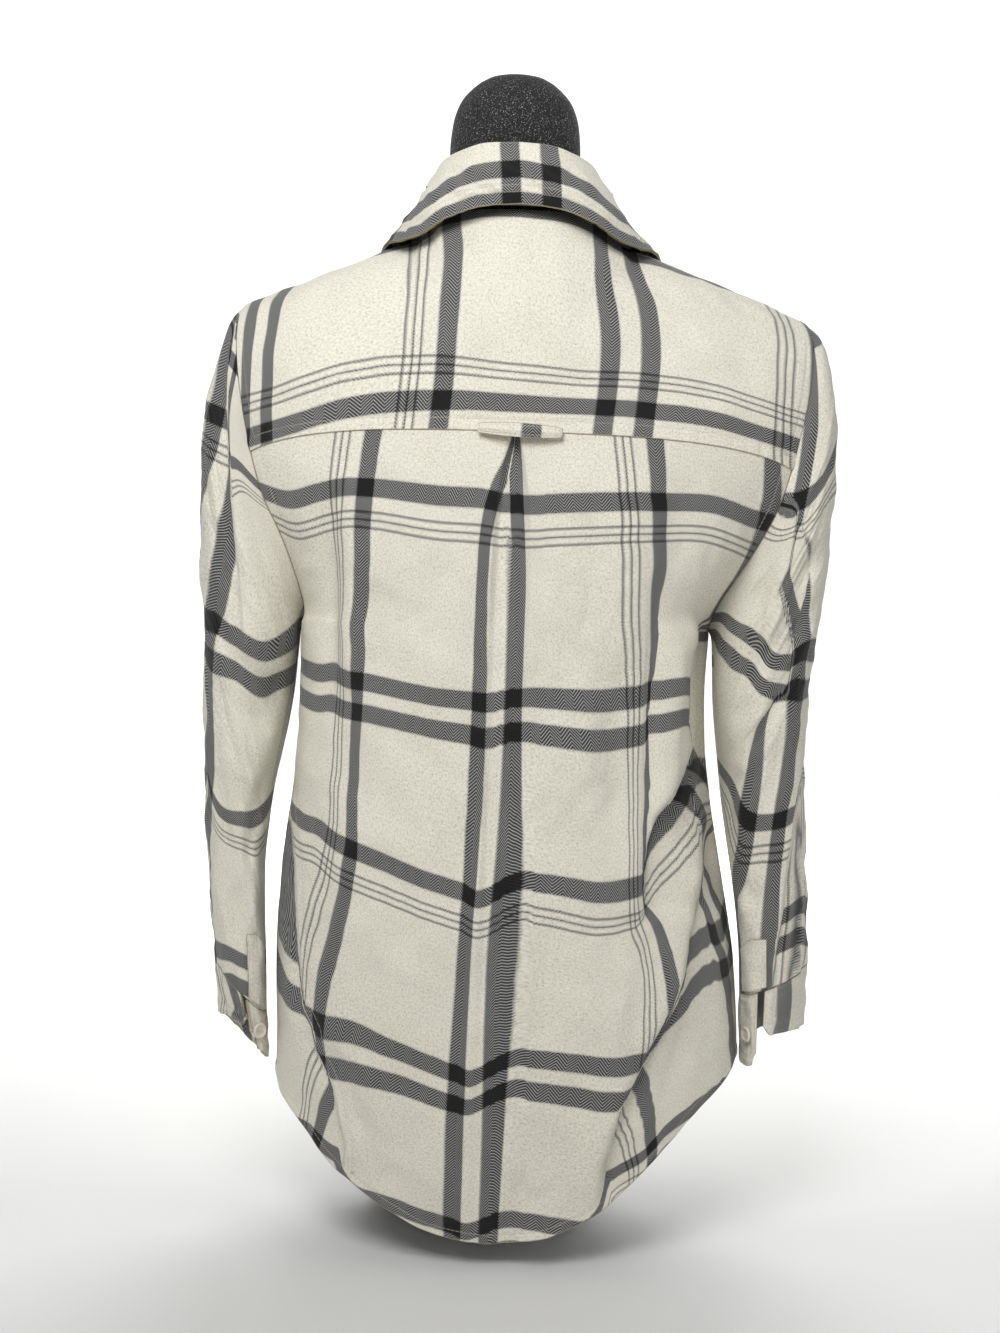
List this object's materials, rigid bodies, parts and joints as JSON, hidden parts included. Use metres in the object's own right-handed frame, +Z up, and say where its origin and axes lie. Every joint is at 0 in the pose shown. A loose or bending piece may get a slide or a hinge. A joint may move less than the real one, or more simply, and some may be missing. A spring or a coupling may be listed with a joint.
{
  "type": "flannel shirt on dress form",
  "caption": "Cream flannel button shirt with a dark windowpane plaid, shirt-tail hem and open cuffs, hanging on a black limbless dress form with a domed neck.",
  "frame": {"origin": "a point of the form's flat foot, below the middle of its shoulders", "axes": "+Z up, -Y the wearer's back, +X the wearer's right"},
  "size_m": [0.4682, 0.2475, 0.8485],
  "materials": {
    "cream_flannel": "brushed matte",
    "black_jersey": "matte",
    "button_plastic": "satin"
  },
  "bodies": {
    "root": {"dress_form": "black_jersey", "back_panel": "cream_flannel", "back_yoke": "cream_flannel", "front_left": "cream_flannel", "front_right": "cream_flannel", "button_band": "cream_flannel", "collar_stand": "cream_flannel", "collar_fall": "cream_flannel", "sleeve_left": "cream_flannel", "sleeve_right": "cream_flannel", "cuff_left": "cream_flannel", "cuff_right": "cream_flannel", "sleeve_placket_left": "cream_flannel", "sleeve_placket_right": "cream_flannel", "cuff_button_left": "button_plastic", "cuff_button_right": "button_plastic", "locker_loop": "cream_flannel", "button_1": "button_plastic", "button_2": "button_plastic", "button_3": "button_plastic", "button_4": "button_plastic", "button_5": "button_plastic", "button_6": "button_plastic"}
  },
  "joints": []
}
